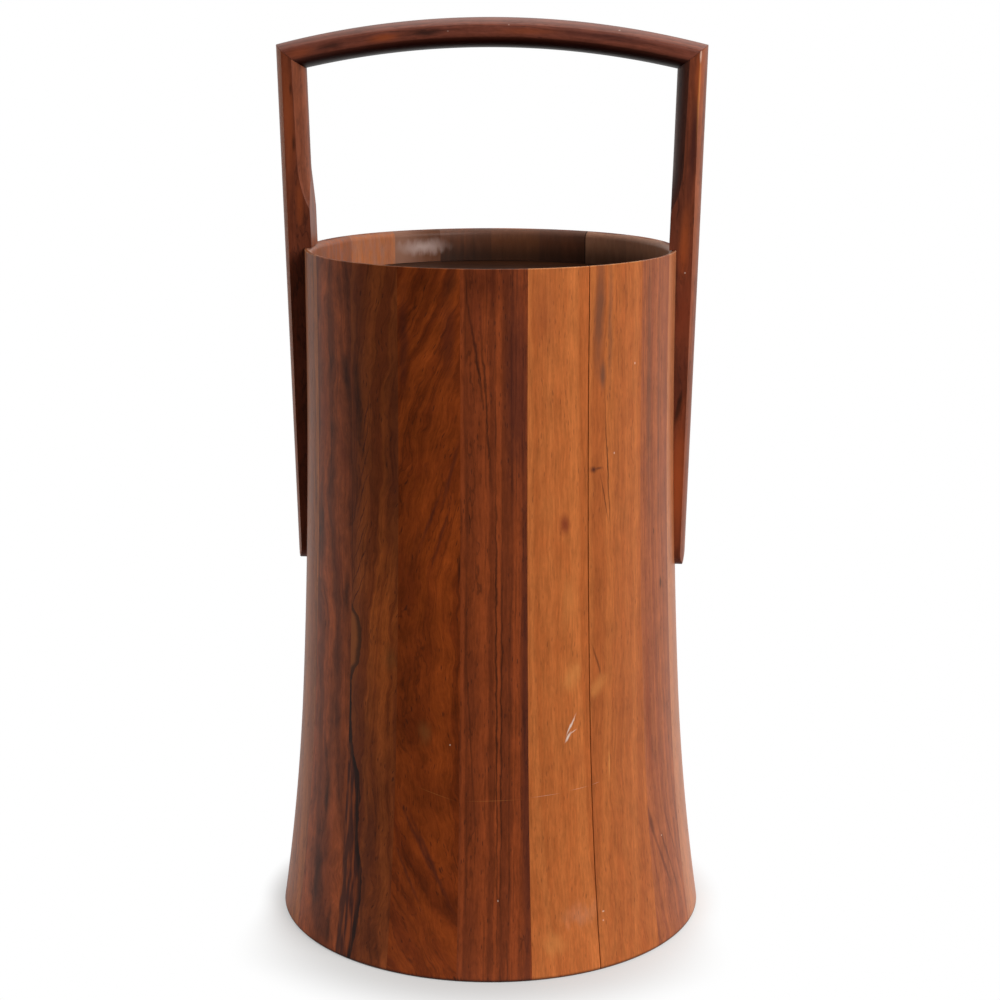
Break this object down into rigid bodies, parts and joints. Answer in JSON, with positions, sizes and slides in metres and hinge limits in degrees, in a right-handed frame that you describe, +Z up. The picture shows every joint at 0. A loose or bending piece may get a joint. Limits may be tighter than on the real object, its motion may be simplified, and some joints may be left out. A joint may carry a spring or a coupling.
{
  "type": "wooden ice bucket",
  "caption": "Tall coopered wooden ice bucket with a flared foot, a fixed arched handle mitred to tapered arms, a moulded liner and a recessed lift-off lid.",
  "frame": {"origin": "centre of the foot ring, on the surface the bucket stands on", "axes": "+Z up along the axis of the body; X along the handle, from arm to arm; the front faces -Y"},
  "size_m": [0.2304, 0.2304, 0.48],
  "materials": {
    "stave_wood": "satin oiled",
    "handle_wood": "satin oiled",
    "lid_wood": "satin oiled",
    "bottom_wood": "sanded",
    "dowel_wood": "sanded",
    "liner_plastic": "moulded",
    "screw_brass": "turned"
  },
  "bodies": {
    "bucket": {"stave_01": "stave_wood", "stave_02": "stave_wood", "stave_03": "stave_wood", "stave_04": "stave_wood", "stave_05": "stave_wood", "stave_06": "stave_wood", "stave_07": "stave_wood", "stave_08": "stave_wood", "stave_09": "stave_wood", "stave_10": "stave_wood", "stave_11": "stave_wood", "stave_12": "stave_wood", "stave_13": "stave_wood", "stave_14": "stave_wood", "stave_15": "stave_wood", "stave_16": "stave_wood", "stave_17": "stave_wood", "stave_18": "stave_wood", "stave_19": "stave_wood", "bottom_board_front": "bottom_wood", "bottom_board_middle": "bottom_wood", "bottom_board_back": "bottom_wood", "bottom_dowels": "dowel_wood", "liner": "liner_plastic", "handle_arch": "handle_wood", "handle_arm_right": "handle_wood", "handle_arm_left": "handle_wood", "mitre_dowels": "dowel_wood", "arm_screws": "screw_brass"},
    "lid": {"lid_board_front": "lid_wood", "lid_board_middle": "lid_wood", "lid_board_back": "lid_wood", "lid_dowels": "dowel_wood", "lid_grip": "lid_wood"}
  },
  "joints": [
    {"name": "lid_lift", "type": "slide", "parent": "bucket", "child": "lid", "axis": [0, 0, 1], "range_m": [0, 0.09]}
  ]
}
